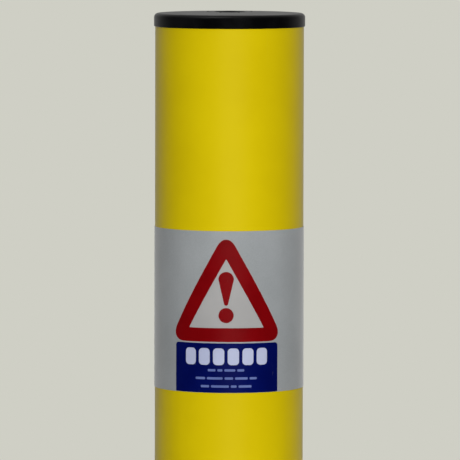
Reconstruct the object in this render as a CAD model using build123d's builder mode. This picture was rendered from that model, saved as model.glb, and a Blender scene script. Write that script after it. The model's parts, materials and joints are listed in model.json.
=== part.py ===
from build123d import *

import os
from math import acos, cos, pi, radians, sin, sqrt, tan

# Retractable bollard: a gas-assisted steel post that slides down into a ground housing.
# Millimetres. Z = 0 is the ground surface, the post stands on the Z axis, its stickers face -Y.
# It is drawn raised, with the lock bolt drawn back, so that the post is free to slide down.

# ---------------------------------------------------------------- driving dimensions
# post
post_od = 88.9
post_wall = 3.2
raised_height = 670.0
retained_length = 155.0

# top cap
cap_thickness = 8.0
cap_overhang = 0.7
cap_edge_radius = 2.5
cap_underside_radius = 0.6
cap_spigot_depth = 12.0
cap_spigot_wall = 3.0
cap_rib_width = 2.5
cap_rib_depth = 5.0
crush_rib_radius = 0.8
crush_rib_count = 12

# flap over the key port
key_inset = 17.25
key_bore = 9.0
key_boss = 12.5
flap_radius = 13.0
flap_thickness = 2.5
flap_room = 1.0
flap_dish_depth = 0.6
flap_dish_margin = 3.5
flap_lug_width = 10.0
finger_notch = 3.0
finger_scallop = 3.6
hinge_from_key = 14.5
hinge_below_top = 2.0
hinge_radius = 1.9
hinge_pin_radius = 1.0
hinge_pin_length = 19.0

# reflective band and stickers
band_height = 97.0
band_below_cap = 119.5
band_film = 0.3
sticker_film = 0.15
triangle_width = 68.0
triangle_corner = 6.5
label_width = 66.8
label_height = 30.0
label_corner = 1.8
label_above_band_edge = 0.4
label_to_triangle = 0.5
sticker_turn = -2.2

# head of the post
head_plate_thickness = 6.0
head_plate_drop = 36.0
vent_radius = 4.0
vent_x = 25.0
vent_y = -12.0
bush_radius = 9.0
bush_flange = 11.0
bush_flange_thickness = 3.0
bush_below_plate = 4.0
spindle_radius = 6.0
spindle_collar = 9.0
spindle_collar_thickness = 3.0
spindle_below_plate = 18.0
spindle_drop_in_port = 2.0
key_head_radius = 8.0
key_head_corner = 1.2
coupling_radius = 8.5
coupling_on_spindle = 13.0
coupling_on_rod = 14.0
coupling_pin_radius = 1.5
coupling_pin_inset = 6.5

# gas strut
strut_radius = 11.0
strut_wall = 1.5
strut_rod_radius = 5.0
strut_tenon_radius = 4.0
strut_tenon_length = 12.0
gland_length = 25.0
piston_length = 10.0
strut_reserve = 3.7
strut_end_wall = 5.0
strut_end_radius = 1.5
strut_stud = 5.0
stud_past_nut = 3.0
strut_washer_radius = 10.5
strut_washer_thickness = 2.0
strut_nut_flats = 17.0
strut_nut_height = 8.0

# lower end of the gas strut
base_pin_height = 22.0
base_pin_radius = 4.0
base_pin_head = 2.0
base_pin_head_thickness = 2.5
base_pin_tail = 4.0
eye_radius = 9.0
eye_width = 10.0
eye_neck_radius = 4.4
eye_shank_radius = 7.5
eye_shank_length = 12.0
ear_thickness = 4.0
bracket_length = 40.0
bracket_width = 26.0
bracket_corner = 3.0
clip_groove_width = 1.2
clip_groove_depth = 0.8
clip_thickness = 1.0
clip_rim = 2.5
clip_mouth = 4.5

# foot of the post
foot_ring_height = 45.0
foot_ring_chamfer = 2.0
foot_lid_height = 13.7
rod_passage = 8.5
foot_screw = 3.0
foot_screw_height = 12.0
foot_screw_depth = 12.1
foot_screw_head = 5.6
foot_screw_sink = 3.0
foot_screw_socket = 2.2
lid_screw = 2.5
lid_screw_head = 4.8
lid_screw_inset = 8.1
lid_screw_depth = 11.0
lid_screw_socket = 1.5
screw_socket_depth = 1.8
up_stop_height = 5.0
up_stop_inset = 0.5

# lock
bolt_width = 14.0
bolt_height = 16.0
bolt_chamfer = 1.5
bolt_above_foot = 33.0
key_throw = 90.0
gear_module = 1.0
pinion_teeth = 12
pinion_height = 14.0
pinion_pin_radius = 1.0
gear_addendum = 0.7
gear_dedendum = 0.95
gear_backlash = 0.18
pressure_angle = 20.0
rack_gaps_behind = 4
rack_gaps_ahead = 2
drive_rod_radius = 4.0
journal_radius = 3.0
journal_length = 18.0
plunger_radius = 3.0
plunger_past_key = 7.0
plunger_nose = 1.6
plunger_nose_tip = 0.8
plunger_nose_drop = 1.0
plunger_slot = 1.0
detent_groove_width = 4.2
detent_groove_depth = 1.0
detent_dimple_radius = 1.8
detent_dimple_depth = 1.8

# ground frame
frame_margin = 42.85
frame_corner = 15.0
cover_thickness = 10.0
cover_edge = 2.0
flange_thickness = 8.0
anchor_inset = 15.0
anchor_hole = 5.5
cover_screw_margin = 20.85
cover_screw = 4.0
cover_screw_head = 8.0
cover_screw_past_flange = 2.0
cover_screw_socket = 2.9
cover_screw_socket_depth = 3.0

# guide cartridge and seals
guide_clearance = 1.05
liner_wall = 4.4
grit_groove_radius = 1.6
grit_groove_count = 8
sleeve_flange = 3.0
sleeve_lip = 4.0
wiper_width = 8.4
wiper_depth = 6.0
wiper_bead = 5.0
wiper_lip_thickness = 1.0

# ground housing
guide_room = 9.1
housing_wall = 3.6
base_margin = 17.85
base_corner = 10.0
base_thickness = 8.0
buffer_height = 44.7
buffer_radius = 9.0
buffer_inset = 6.45
buffer_count = 3
buffer_edge_radius = 2.0
buffer_stud = 4.0
drain_od = 32.0
drain_wall = 2.5
drain_length = 36.0
drain_stop = 4.85
drain_stop_rim = 2.5
drain_above_base = 28.0
keeper_side = 34.0
keeper_wall = 3.0
keeper_end_room = 6.0
keeper_corner = 4.0
rail_width = 8.0
rail_depth = 5.0
rail_above_base = 42.0
gusset_leg = 38.0
gusset_thickness = 5.0
gusset_toe = 6.0
lug_reach = 24.0
lug_tail = 16.0
lug_height = 40.0
lug_thickness = 5.0
lug_splay = 32.0
upper_lug_depth = 330.0
lower_lug_depth = 610.0

# clearances
seat_gap = 0.3
running = 0.1
slip = 0.05
press_in = 0.15
glue_film = 0.02
screw_clearance = 0.3
countersink_clearance = 0.14
slot_clearance = 0.5
passing = 0.4
lip_clearance = 0.3
foot_clearance = 0.55
sleeve_clearance = 0.25
through = 1.0

# ---------------------------------------------------------------- derived places
travel = raised_height
post_r = post_od / 2
post_ir = post_r - post_wall
post_top = raised_height - cap_thickness
post_bottom = -retained_length
key_offset = post_ir - key_inset
cap_r = post_r + cap_overhang
spigot_r = post_ir - press_in
spigot_bottom = post_top - cap_spigot_depth
flap_floor = raised_height - flap_thickness - seat_gap
hinge_y = key_offset - hinge_from_key
hinge_z = raised_height - hinge_below_top

band_top = post_top - band_below_cap
band_bottom = band_top - band_height
band_r = post_r + glue_film
band_or = band_r + band_film
sticker_r = band_or + glue_film
sticker_or = sticker_r + sticker_film

head_plate_top = post_top - head_plate_drop
head_plate_bottom = head_plate_top - head_plate_thickness
spindle_end = head_plate_bottom - spindle_below_plate
coupling_top = spindle_end + coupling_on_spindle
coupling_bottom = spindle_end - coupling_on_rod
collar_bottom = head_plate_top + bush_flange_thickness + running
spindle_top = spigot_bottom - spindle_drop_in_port

strut_stroke_room = travel + seat_gap + strut_reserve
strut_length = strut_stroke_room + gland_length + piston_length + strut_end_wall
strut_bottom = head_plate_bottom - strut_length
strut_bore = strut_radius - strut_wall
gland_top = strut_bottom + gland_length
piston_bottom = gland_top + seat_gap
piston_top = piston_bottom + piston_length
nut_bottom = head_plate_top + strut_washer_thickness

housing_od = post_od + 2 * (guide_room + housing_wall)
housing_r = housing_od / 2
housing_ir = housing_r - housing_wall
frame_side = housing_od + 2 * frame_margin
anchor_offset = frame_side / 2 - anchor_inset
cover_screw_circle = housing_r + cover_screw_margin
base_side = housing_od + 2 * base_margin
cover_bottom = -cover_thickness
flange_bottom = cover_bottom - flange_thickness
housing_top = cover_bottom - sleeve_flange
base_top = post_bottom - travel - seat_gap - buffer_height
base_bottom = base_top - base_thickness
base_pin_z = base_top + base_pin_height
shank_bottom = base_pin_z + eye_radius + through
shank_top = shank_bottom + eye_shank_length

guide_r = post_r + guide_clearance
liner_r = guide_r + liner_wall
wiper_r = guide_r + wiper_width
sleeve_r = housing_ir - sleeve_clearance
foot_ring_r = housing_ir - foot_clearance
foot_block_r = post_ir - press_in
foot_screw_start = foot_block_r - foot_screw_depth
buffer_circle = post_r - buffer_inset
foot_ring_top = post_bottom + foot_ring_height
up_stop_top = foot_ring_top + up_stop_height
sleeve_bottom = up_stop_top + seat_gap
liner_bottom = sleeve_bottom + sleeve_lip

rack_pitch = pi * gear_module
pitch_r = gear_module * pinion_teeth / 2
outer_r = pitch_r + gear_addendum
root_r = pitch_r - gear_dedendum
flank_slope = tan(radians(pressure_angle))
rack_x = pitch_r - gear_addendum
rack_tip = rack_pitch / 2 - 2 * gear_addendum * flank_slope - gear_backlash
rack_mouth = rack_pitch - rack_tip
rack_depth = gear_addendum + gear_dedendum
rack_floor = rack_mouth - 2 * rack_depth * flank_slope
bolt_throw = pitch_r * radians(key_throw)

bolt_x = rack_x + bolt_width / 2
bolt_outer_x = rack_x + bolt_width
bolt_z = post_bottom + bolt_above_foot
bolt_top = bolt_z + bolt_height / 2
bolt_bottom = bolt_z - bolt_height / 2
bolt_start = key_offset - rack_gaps_behind * rack_pitch - rack_mouth / 2 - rack_tip
bolt_tip = sqrt((foot_ring_r - running) ** 2 - (bolt_outer_x - bolt_chamfer) ** 2)
channel_floor = bolt_bottom - seat_gap
channel_top = bolt_top + seat_gap
lid_top = channel_top + foot_lid_height
journal_bottom = channel_floor - journal_length
pinion_bottom = bolt_z - pinion_height / 2
pinion_top = pinion_bottom + pinion_height

screw_angles = (45, 135, 225, 315)
foot_screw_z = post_bottom + foot_screw_height
foot_head_seat = foot_ring_r - foot_screw_sink
foot_head_top = foot_ring_r - running
lid_screw_angles = (200, 270, 340)
lid_screw_circle = foot_block_r - lid_screw_inset
lid_screw_spots = [
    (lid_screw_circle * cos(radians(a)), lid_screw_circle * sin(radians(a))) for a in lid_screw_angles
]
plunger_y = key_offset + plunger_past_key
plunger_spot = (bolt_x, plunger_y)
key_spot = (0, key_offset)
keeper_heights = (bolt_z, bolt_z - travel)
keeper_reach = bolt_tip + bolt_throw + keeper_end_room + keeper_wall
drain_z = base_top + drain_above_base
drain_r = drain_od / 2
drain_ir = drain_r - drain_wall
drain_stop_face = housing_r + drain_stop
drain_reach = drain_stop_face + drain_length


def save(builder, label):
    """Label a finished piece and write its STEP file."""
    builder.part.label = label
    export_step(builder.part, f"parts/{label}.step")


def ring(outer, inner, bottom, top):
    """A plain round tube on the Z axis."""
    with BuildPart() as tube:
        with BuildSketch(Plane.XY.offset(bottom)):
            Circle(outer)
            Circle(inner, mode=Mode.SUBTRACT)
        extrude(amount=top - bottom)
    return tube


def facing(angle, z):
    """The plane at height z whose normal points out from the Z axis at an angle."""
    a = radians(angle)
    return Plane(origin=(0, 0, z), x_dir=(-sin(a), cos(a), 0), z_dir=(cos(a), sin(a), 0))


def across_key(z, radius, length):
    """A pin along Y through the key's axis, as a cutter or a pin."""
    with BuildPart() as pin:
        with Locations((0, key_offset, z)):
            Cylinder(radius, length, rotation=(90, 0, 0))
    return pin.part


os.makedirs("parts", exist_ok=True)

# ================================================================ post tube and its skin
with BuildPart() as post_tube:
    with BuildSketch(Plane.XY.offset(post_bottom)):
        Circle(post_r)
        Circle(post_ir, mode=Mode.SUBTRACT)
    extrude(amount=post_top - post_bottom)
    # way out for the lock bolt, towards +Y
    with BuildSketch(Plane.XZ):
        with Locations((bolt_x, bolt_z)):
            Rectangle(bolt_width + 2 * slot_clearance, bolt_height + 2 * slot_clearance)
    extrude(amount=-post_od, mode=Mode.SUBTRACT)
    # holes for the foot screws
    for angle in screw_angles:
        with BuildSketch(facing(angle, foot_screw_z)):
            Circle(foot_screw + screw_clearance)
        extrude(amount=post_od, mode=Mode.SUBTRACT)
save(post_tube, "post_tube")

save(ring(band_or, band_r, band_bottom, band_top), "reflective_band")


def wrapped_patch(outline, label):
    """A thin vinyl patch on the band's front, cut to an outline drawn from the front."""
    with BuildPart() as patch:
        with BuildSketch(Plane.XY.offset(band_bottom)):
            Circle(sticker_or)
            Circle(sticker_r, mode=Mode.SUBTRACT)
        extrude(amount=band_height)
        extrude(outline, amount=post_od, mode=Mode.INTERSECT)
    save(patch, label)


def wrapped_half(arc_width):
    """Half the width that a wrapped patch shows from straight in front."""
    return sticker_or * sin(arc_width / 2 / sticker_or)


sticker_x = sticker_or * sin(radians(sticker_turn))
label_bottom = band_bottom + label_above_band_edge
triangle_bottom = label_bottom + label_height + label_to_triangle
triangle_side = triangle_width + 2 * (sqrt(3) - 1) * triangle_corner
triangle_half = wrapped_half(triangle_side)

with BuildSketch(Plane.XZ) as triangle_outline:
    with BuildLine():
        FilletPolyline(
            (sticker_x - triangle_half, triangle_bottom),
            (sticker_x + triangle_half, triangle_bottom),
            (sticker_x, triangle_bottom + triangle_side * sqrt(3) / 2),
            radius=triangle_corner,
            close=True,
        )
    make_face()

with BuildSketch(Plane.XZ) as label_outline:
    with Locations((sticker_x, label_bottom + label_height / 2)):
        RectangleRounded(2 * wrapped_half(label_width), label_height, label_corner)

wrapped_patch(triangle_outline.sketch, "triangle_sticker")
wrapped_patch(label_outline.sketch, "label_sticker")

# ================================================================ top cap
flap_pocket = flap_radius + flap_room
barrel_room = hinge_radius + 2 * seat_gap
lug_room_width = flap_lug_width + 2 * through
lug_room_start = hinge_y - barrel_room - passing
lug_room_end = hinge_y + barrel_room + through
scallop_y = key_offset + flap_radius

with BuildPart() as top_cap:
    # crown with its rolled edge
    with BuildSketch(Plane.XY.offset(post_top)):
        Circle(cap_r)
    extrude(amount=cap_thickness)
    fillet(top_cap.edges().group_by(Axis.Z)[-1], cap_edge_radius)
    fillet(top_cap.edges().group_by(Axis.Z)[0], cap_underside_radius)
    # spigot that presses into the tube, and the crush ribs round it
    with BuildSketch(Plane.XY.offset(spigot_bottom)):
        Circle(spigot_r)
        Circle(spigot_r - cap_spigot_wall, mode=Mode.SUBTRACT)
    extrude(amount=cap_spigot_depth)
    with BuildSketch(Plane.XY.offset(spigot_bottom + 2 * crush_rib_radius)):
        with PolarLocations(post_ir - slip - crush_rib_radius, crush_rib_count):
            Circle(crush_rib_radius)
    extrude(amount=cap_spigot_depth - 2 * crush_rib_radius)
    # boss that guides the key, and stiffening ribs clear of it
    with BuildSketch(Plane.XY.offset(spigot_bottom)):
        with Locations(key_spot):
            Circle(key_boss)
    extrude(amount=cap_spigot_depth)
    with BuildSketch(Plane.XY.offset(post_top - cap_rib_depth)):
        Rectangle(2 * spigot_r - cap_spigot_wall, cap_rib_width)
        with Locations((0, -(spigot_r - cap_spigot_wall / 2) / 2)):
            Rectangle(cap_rib_width, spigot_r - cap_spigot_wall / 2)
    extrude(amount=cap_rib_depth)
    # pocket for the flap, scallop for a finger, room for the hinge and the key's way in
    with BuildSketch(Plane.XY.offset(flap_floor)):
        with Locations(key_spot):
            Circle(flap_pocket)
        with Locations((0, scallop_y)):
            Circle(finger_scallop)
    extrude(amount=cap_thickness, mode=Mode.SUBTRACT)
    with BuildSketch(Plane.XY.offset(hinge_z - barrel_room)):
        with Locations((0, (lug_room_start + lug_room_end) / 2)):
            Rectangle(lug_room_width, lug_room_end - lug_room_start)
    extrude(amount=cap_thickness, mode=Mode.SUBTRACT)
    with BuildSketch(Plane.XY.offset(spigot_bottom)):
        with Locations(key_spot):
            Circle(key_bore)
    extrude(amount=cap_thickness + cap_spigot_depth, mode=Mode.SUBTRACT)
    # bore for the hinge pin
    with BuildSketch(Plane.YZ.offset(-hinge_pin_length / 2 - seat_gap)):
        with Locations((hinge_y, hinge_z)):
            Circle(hinge_pin_radius)
    extrude(amount=hinge_pin_length + 2 * seat_gap, mode=Mode.SUBTRACT)
save(top_cap, "top_cap")

with BuildPart() as key_flap:
    # disc, its notch for a fingertip and the lug that carries the barrel
    with BuildSketch(Plane.XY.offset(raised_height - flap_thickness)):
        with Locations(key_spot):
            Circle(flap_radius)
        with Locations((0, scallop_y + finger_notch / 2)):
            Circle(finger_notch, mode=Mode.SUBTRACT)
        with Locations((0, hinge_y)):
            Rectangle(flap_lug_width, hinge_from_key - flap_dish_margin, align=(Align.CENTER, Align.MIN))
    extrude(amount=flap_thickness)
    with BuildSketch(Plane.YZ.offset(-flap_lug_width / 2)):
        with Locations((hinge_y, hinge_z)):
            Circle(hinge_radius)
    extrude(amount=flap_lug_width)
    # shallow dish in the flap's face
    with BuildSketch(Plane.XY.offset(raised_height)):
        with Locations(key_spot):
            Circle(flap_radius - flap_dish_margin)
    extrude(amount=-flap_dish_depth, mode=Mode.SUBTRACT)
    with BuildSketch(Plane.YZ.offset(-hinge_pin_length / 2)):
        with Locations((hinge_y, hinge_z)):
            Circle(hinge_pin_radius + slip)
    extrude(amount=hinge_pin_length, mode=Mode.SUBTRACT)
save(key_flap, "key_flap")

with BuildPart() as flap_hinge_pin:
    with BuildSketch(Plane.YZ.offset(-hinge_pin_length / 2)):
        with Locations((hinge_y, hinge_z)):
            Circle(hinge_pin_radius)
    extrude(amount=hinge_pin_length)
save(flap_hinge_pin, "flap_hinge_pin")

# ================================================================ head of the post
with BuildPart() as head_plate:
    with BuildSketch(Plane.XY.offset(head_plate_bottom)):
        Circle(post_ir - slip)
        Circle(strut_stud + slip, mode=Mode.SUBTRACT)
        with Locations(key_spot):
            Circle(bush_radius, mode=Mode.SUBTRACT)
        with Locations((-vent_x, vent_y), (vent_x, vent_y)):
            Circle(vent_radius, mode=Mode.SUBTRACT)
    extrude(amount=head_plate_thickness)
save(head_plate, "head_plate")

bush_length = bush_below_plate + head_plate_thickness + bush_flange_thickness
with BuildPart() as spindle_bush:
    with BuildSketch(Plane.XY.offset(head_plate_bottom - bush_below_plate)):
        with Locations(key_spot):
            Circle(bush_radius)
    extrude(amount=bush_length)
    with BuildSketch(Plane.XY.offset(head_plate_top)):
        with Locations(key_spot):
            Circle(bush_flange)
    extrude(amount=bush_flange_thickness)
    with BuildSketch(Plane.XY.offset(head_plate_bottom - bush_below_plate)):
        with Locations(key_spot):
            Circle(spindle_radius + running)
    extrude(amount=bush_length, mode=Mode.SUBTRACT)
save(spindle_bush, "spindle_bush")

upper_pin_z = spindle_end + coupling_pin_inset
lower_pin_z = spindle_end - coupling_pin_inset
head_bottom = collar_bottom + spindle_collar_thickness

with BuildPart() as key_spindle:
    with BuildSketch(Plane.XY.offset(spindle_end)):
        with Locations(key_spot):
            Circle(spindle_radius)
    extrude(amount=collar_bottom - spindle_end)
    with BuildSketch(Plane.XY.offset(collar_bottom)):
        with Locations(key_spot):
            Circle(spindle_collar)
    extrude(amount=spindle_collar_thickness)
    # three-sided head for the key
    with BuildSketch(Plane.XY.offset(head_bottom)) as drive_head:
        with Locations(key_spot):
            RegularPolygon(radius=key_head_radius, side_count=3, rotation=90)
        fillet(drive_head.vertices(), key_head_corner)
    extrude(amount=spindle_top - head_bottom)
    chamfer(key_spindle.edges().group_by(Axis.Z)[-1], key_head_corner / 2)
    add(across_key(upper_pin_z, coupling_pin_radius, post_od), mode=Mode.SUBTRACT)
save(key_spindle, "key_spindle")

with BuildPart() as spindle_coupling:
    with BuildSketch(Plane.XY.offset(coupling_bottom)):
        with Locations(key_spot):
            Circle(coupling_radius)
    extrude(amount=coupling_top - coupling_bottom)
    chamfer(spindle_coupling.edges().group_by(Axis.Z)[0], coupling_pin_radius / 2)
    with BuildSketch(Plane.XY.offset(spindle_end)):
        with Locations(key_spot):
            Circle(spindle_radius)
    extrude(amount=coupling_on_spindle, mode=Mode.SUBTRACT)
    with BuildSketch(Plane.XY.offset(coupling_bottom)):
        with Locations(key_spot):
            Circle(drive_rod_radius)
    extrude(amount=coupling_on_rod, mode=Mode.SUBTRACT)
    for pin_z in (upper_pin_z, lower_pin_z):
        add(across_key(pin_z, coupling_pin_radius, post_od), mode=Mode.SUBTRACT)
save(spindle_coupling, "spindle_coupling")

with BuildPart() as coupling_pins:
    for pin_z in (upper_pin_z, lower_pin_z):
        add(across_key(pin_z, coupling_pin_radius, 2 * coupling_radius))
save(coupling_pins, "coupling_pins")

# ================================================================ gas strut
with BuildPart() as strut_cylinder:
    with BuildSketch(Plane.XY.offset(strut_bottom)):
        Circle(strut_radius)
    extrude(amount=strut_length)
    fillet(strut_cylinder.edges().group_by(Axis.Z)[-1], strut_end_radius)
    with BuildSketch(Plane.XY.offset(head_plate_bottom)):
        Circle(strut_stud)
    extrude(amount=nut_bottom + strut_nut_height + stud_past_nut - head_plate_bottom)
    with BuildSketch(Plane.XY.offset(strut_bottom)):
        Circle(strut_bore)
    extrude(amount=strut_length - strut_end_wall, mode=Mode.SUBTRACT)
save(strut_cylinder, "strut_cylinder")

save(ring(strut_bore, strut_rod_radius + running, strut_bottom, gland_top), "strut_gland")
save(ring(strut_bore - running, strut_rod_radius, piston_bottom, piston_top), "strut_piston")
save(ring(strut_washer_radius, strut_stud, head_plate_top, nut_bottom), "strut_top_washer")

with BuildPart() as strut_top_nut:
    with BuildSketch(Plane.XY.offset(nut_bottom)):
        RegularPolygon(radius=strut_nut_flats / 2, side_count=6, major_radius=False)
        Circle(strut_stud, mode=Mode.SUBTRACT)
    extrude(amount=strut_nut_height)
save(strut_top_nut, "strut_top_nut")

with BuildPart() as strut_rod:
    with BuildSketch(Plane.XY.offset(shank_top)):
        Circle(strut_rod_radius)
    extrude(amount=piston_top - shank_top)
    with BuildSketch(Plane.XY.offset(shank_top - strut_tenon_length)):
        Circle(strut_tenon_radius)
    extrude(amount=strut_tenon_length)
save(strut_rod, "strut_rod")

with BuildPart() as strut_rod_eye:
    with BuildSketch(Plane.YZ.offset(-eye_width / 2)):
        with Locations((0, base_pin_z)):
            Circle(eye_radius)
    extrude(amount=eye_width)
    with BuildSketch(Plane.XY.offset(base_pin_z)):
        Circle(eye_neck_radius)
    extrude(amount=shank_bottom - base_pin_z)
    with BuildSketch(Plane.XY.offset(shank_bottom)):
        Circle(eye_shank_radius)
    extrude(amount=eye_shank_length)
    with BuildSketch(Plane.XY.offset(shank_top - strut_tenon_length)):
        Circle(strut_tenon_radius)
    extrude(amount=strut_tenon_length, mode=Mode.SUBTRACT)
    with BuildSketch(Plane.YZ.offset(-eye_width)):
        with Locations((0, base_pin_z)):
            Circle(base_pin_radius + slip)
    extrude(amount=2 * eye_width, mode=Mode.SUBTRACT)
save(strut_rod_eye, "strut_rod_eye")

ear_inner = eye_width / 2 + passing
ear_outer = ear_inner + ear_thickness
with BuildPart() as strut_base_bracket:
    with BuildSketch(Plane.XY.offset(base_top)):
        RectangleRounded(bracket_length, bracket_width, bracket_corner)
    extrude(amount=ear_thickness)
    for x in (ear_inner, -ear_outer):
        with BuildSketch(Plane.YZ.offset(x)):
            with Locations((0, base_pin_z)):
                Circle(eye_radius)
            with Locations((0, (base_top + base_pin_z) / 2)):
                Rectangle(2 * eye_radius, base_pin_height)
        extrude(amount=ear_thickness)
    with BuildSketch(Plane.YZ.offset(-bracket_length / 2)):
        with Locations((0, base_pin_z)):
            Circle(base_pin_radius)
    extrude(amount=bracket_length, mode=Mode.SUBTRACT)
save(strut_base_bracket, "strut_base_bracket")

with BuildPart() as strut_base_pin:
    with BuildSketch(Plane.YZ.offset(-ear_outer)):
        with Locations((0, base_pin_z)):
            Circle(base_pin_radius)
    extrude(amount=2 * ear_outer + base_pin_tail)
    with BuildSketch(Plane.YZ.offset(-ear_outer)):
        with Locations((0, base_pin_z)):
            Circle(base_pin_radius + base_pin_head)
    extrude(amount=-base_pin_head_thickness)
    # groove for the clip
    with BuildSketch(Plane.YZ.offset(ear_outer + running)):
        with Locations((0, base_pin_z)):
            Circle(base_pin_radius)
            Circle(base_pin_radius - clip_groove_depth, mode=Mode.SUBTRACT)
    extrude(amount=clip_groove_width, mode=Mode.SUBTRACT)
save(strut_base_pin, "strut_base_pin")

with BuildPart() as strut_pin_clip:
    with BuildSketch(Plane.YZ.offset(ear_outer + 2 * running)):
        with Locations((0, base_pin_z)):
            Circle(base_pin_radius + clip_rim)
            Circle(base_pin_radius - clip_groove_depth, mode=Mode.SUBTRACT)
        with Locations((0, base_pin_z - base_pin_radius)):
            Rectangle(clip_mouth, 2 * base_pin_radius, mode=Mode.SUBTRACT)
    extrude(amount=clip_thickness)
save(strut_pin_clip, "strut_pin_clip")

# ================================================================ foot of the post
channel_x = rack_x - seat_gap
channel_width = bolt_width + 2 * seat_gap
channel_start = bolt_start - seat_gap

with BuildPart() as foot_block:
    with BuildSketch(Plane.XY.offset(post_bottom)):
        Circle(foot_block_r)
        Circle(rod_passage, mode=Mode.SUBTRACT)
    extrude(amount=channel_top - post_bottom)
    # milled channel for the bolt and pocket for the pinion
    with BuildSketch(Plane.XY.offset(channel_floor)):
        with Locations((channel_x, channel_start)):
            Rectangle(channel_width, post_r, align=(Align.MIN, Align.MIN))
        with Locations(key_spot):
            Circle(outer_r + slot_clearance)
    extrude(amount=channel_top - channel_floor, mode=Mode.SUBTRACT)
    # lower bearing of the drive rod
    with BuildSketch(Plane.XY.offset(channel_floor)):
        with Locations(key_spot):
            Circle(journal_radius + running)
    extrude(amount=-journal_length - through, mode=Mode.SUBTRACT)
    for angle in screw_angles:
        with BuildSketch(facing(angle, foot_screw_z).offset(foot_screw_start - through)):
            Circle(foot_screw)
        extrude(amount=post_r, mode=Mode.SUBTRACT)
    with BuildSketch(Plane.XY.offset(channel_top)):
        with Locations(*lid_screw_spots):
            Circle(lid_screw)
    extrude(amount=-lid_screw_depth - through, mode=Mode.SUBTRACT)
save(foot_block, "foot_block")

lid_screw_cone = lid_screw_head - lid_screw
with BuildPart() as foot_block_lid:
    with BuildSketch(Plane.XY.offset(channel_top)):
        Circle(foot_block_r)
        Circle(rod_passage, mode=Mode.SUBTRACT)
        with Locations(key_spot):
            Circle(drive_rod_radius + running, mode=Mode.SUBTRACT)
        with Locations(plunger_spot):
            Circle(plunger_radius, mode=Mode.SUBTRACT)
    extrude(amount=foot_lid_height)
    with Locations(*[(x, y, lid_top) for x, y in lid_screw_spots]):
        CounterSinkHole(lid_screw, lid_screw_head, foot_lid_height, counter_sink_angle=90)
save(foot_block_lid, "foot_block_lid")

with BuildPart() as lid_screws:
    with BuildSketch(Plane.XY.offset(channel_top - lid_screw_depth)):
        with Locations(*lid_screw_spots):
            Circle(lid_screw)
    extrude(amount=lid_screw_depth + foot_lid_height)
    with Locations(*[(x, y, lid_top - lid_screw_cone) for x, y in lid_screw_spots]):
        Cone(lid_screw, lid_screw_head, lid_screw_cone, align=(Align.CENTER, Align.CENTER, Align.MIN))
    with BuildSketch(Plane.XY.offset(lid_top)):
        with Locations(*lid_screw_spots):
            RegularPolygon(radius=lid_screw_socket, side_count=6)
    extrude(amount=-screw_socket_depth, mode=Mode.SUBTRACT)
save(lid_screws, "lid_screws")

# spring plunger, screwed through the lid, whose nose rides in the bolt's groove
with BuildPart() as detent_plunger:
    with BuildSketch(Plane.XY.offset(channel_top)):
        with Locations(plunger_spot):
            Circle(plunger_radius)
    extrude(amount=foot_lid_height)
    with Locations((*plunger_spot, channel_top - plunger_nose_drop)):
        nose_align = (Align.CENTER, Align.CENTER, Align.MIN)
        Cone(plunger_nose_tip, plunger_nose, plunger_nose_drop, align=nose_align)
    with BuildSketch(Plane.XY.offset(lid_top)):
        with Locations(plunger_spot):
            Rectangle(2 * plunger_radius, plunger_slot)
    extrude(amount=-screw_socket_depth, mode=Mode.SUBTRACT)
save(detent_plunger, "detent_plunger")

rail_inner = housing_ir - rail_depth
rail_notch = rail_width + 2 * slot_clearance
with BuildPart() as foot_guide_ring:
    with BuildSketch(Plane.XY.offset(post_bottom)):
        Circle(foot_ring_r)
        Circle(post_r + slip, mode=Mode.SUBTRACT)
    extrude(amount=foot_ring_height)
    chamfer(foot_guide_ring.edges().group_by(Axis.Z)[0].sort_by(SortBy.RADIUS)[-1], foot_ring_chamfer)
    with BuildSketch(Plane.XZ):
        with Locations((bolt_x, bolt_z)):
            Rectangle(bolt_width + 2 * slot_clearance, bolt_height + 2 * slot_clearance)
    extrude(amount=-housing_od, mode=Mode.SUBTRACT)
    # notch that rides on the anti-turn rail, towards -X
    with BuildSketch(Plane.XY.offset(post_bottom)):
        with Locations((-rail_inner + slot_clearance, 0)):
            Rectangle(housing_r, rail_notch, align=(Align.MAX, Align.CENTER))
    extrude(amount=foot_ring_height, mode=Mode.SUBTRACT)
    for angle in screw_angles:
        with BuildSketch(facing(angle, foot_screw_z)):
            Circle(foot_screw + screw_clearance)
        extrude(amount=housing_r, mode=Mode.SUBTRACT)
        with BuildSketch(facing(angle, foot_screw_z).offset(foot_head_seat)):
            Circle(foot_screw_head + screw_clearance)
        extrude(amount=housing_r, mode=Mode.SUBTRACT)
save(foot_guide_ring, "foot_guide_ring")

with BuildPart() as foot_screws:
    for angle in screw_angles:
        with BuildSketch(facing(angle, foot_screw_z).offset(foot_screw_start)):
            Circle(foot_screw)
        extrude(amount=foot_head_seat - foot_screw_start)
        with BuildSketch(facing(angle, foot_screw_z).offset(foot_head_seat)):
            Circle(foot_screw_head)
        extrude(amount=foot_screw_sink)
        with BuildSketch(facing(angle, foot_screw_z).offset(foot_ring_r)):
            RegularPolygon(radius=foot_screw_socket, side_count=6)
        extrude(amount=-screw_socket_depth, mode=Mode.SUBTRACT)
    # heads rounded to stay inside the ring's outside
    with BuildSketch(Plane.XY.offset(post_bottom)):
        Circle(foot_head_top)
    extrude(amount=foot_ring_height, mode=Mode.INTERSECT)
save(foot_screws, "foot_screws")

with BuildPart() as up_stop_ring:
    with BuildSketch(Plane.XY.offset(foot_ring_top)):
        Circle(foot_ring_r - up_stop_inset)
        Circle(post_r + press_in, mode=Mode.SUBTRACT)
        with Locations((-rail_inner + slot_clearance, 0)):
            Rectangle(housing_r, rail_notch, align=(Align.MAX, Align.CENTER), mode=Mode.SUBTRACT)
    extrude(amount=up_stop_height)
save(up_stop_ring, "up_stop_ring")

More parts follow.
